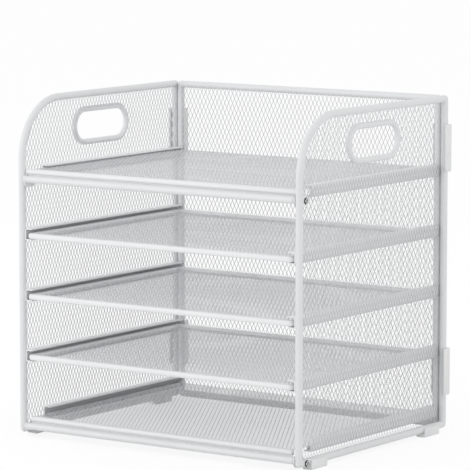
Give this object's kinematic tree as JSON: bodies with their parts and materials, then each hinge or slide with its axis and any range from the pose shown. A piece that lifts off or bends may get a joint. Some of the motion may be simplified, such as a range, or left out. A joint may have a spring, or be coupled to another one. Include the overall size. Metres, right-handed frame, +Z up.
{
  "type": "desk file organizer",
  "caption": "White steel mesh letter-tray organizer with side handles, fixed top and bottom shelves and trays that slide forward in channel guides.",
  "frame": {"origin": "on the desk, under the middle of the overall box", "axes": "+X to the right seen from the front, +Y to the back, +Z up; the trays slide out towards -Y"},
  "size_m": [0.3346, 0.2624, 0.3315],
  "materials": {
    "frame_tube": "white satin powder coat on steel tube",
    "mesh_sheet": "white satin powder coat on expanded steel mesh",
    "formed_sheet": "white satin powder coat on formed sheet steel",
    "white_plastic": "white moulded plastic, fine matte",
    "screw_steel": "dark zinc-plated steel"
  },
  "bodies": {
    "frame": {"right_side_frame": "frame_tube", "left_side_frame": "frame_tube", "right_handle_ring": "frame_tube", "left_handle_ring": "frame_tube", "right_side_mesh": "mesh_sheet", "left_side_mesh": "mesh_sheet", "right_screw_tab": "formed_sheet", "left_screw_tab": "formed_sheet", "back_frame": "frame_tube", "back_mesh": "mesh_sheet", "right_guide_lower": "formed_sheet", "left_guide_lower": "formed_sheet", "right_guide_middle": "formed_sheet", "left_guide_middle": "formed_sheet", "right_guide_upper": "formed_sheet", "left_guide_upper": "formed_sheet", "right_guide_bottom": "formed_sheet", "left_guide_bottom": "formed_sheet", "right_guide_top": "formed_sheet", "left_guide_top": "formed_sheet", "top_shelf_front_tube": "frame_tube", "right_top_shelf_end_plate": "formed_sheet", "left_top_shelf_end_plate": "formed_sheet", "top_shelf_lip": "formed_sheet", "top_shelf_mesh": "mesh_sheet", "bottom_shelf_front_tube": "frame_tube", "right_bottom_shelf_end_plate": "formed_sheet", "left_bottom_shelf_end_plate": "formed_sheet", "bottom_shelf_lip": "formed_sheet", "bottom_shelf_mesh": "mesh_sheet", "right_screw_upper": "screw_steel", "left_screw_upper": "screw_steel", "right_screw_lower": "screw_steel", "left_screw_lower": "screw_steel", "right_foot_front": "white_plastic", "left_foot_front": "white_plastic", "right_foot_rear": "white_plastic", "left_foot_rear": "white_plastic", "right_rear_clip_upper": "white_plastic", "left_rear_clip_upper": "white_plastic", "right_rear_clip_lower": "white_plastic", "left_rear_clip_lower": "white_plastic"},
    "tray_lower": {"tray_lower_rim": "formed_sheet", "tray_lower_mesh": "mesh_sheet"},
    "tray_middle": {"tray_middle_rim": "formed_sheet", "tray_middle_mesh": "mesh_sheet"},
    "tray_upper": {"tray_upper_rim": "formed_sheet", "tray_upper_mesh": "mesh_sheet"}
  },
  "joints": [
    {"name": "tray_lower_slide", "type": "slide", "parent": "frame", "child": "tray_lower", "axis": [0, -1, 0], "range_m": [0, 0.17]},
    {"name": "tray_middle_slide", "type": "slide", "parent": "frame", "child": "tray_middle", "axis": [0, -1, 0], "range_m": [0, 0.17]},
    {"name": "tray_upper_slide", "type": "slide", "parent": "frame", "child": "tray_upper", "axis": [0, -1, 0], "range_m": [0, 0.17]}
  ]
}
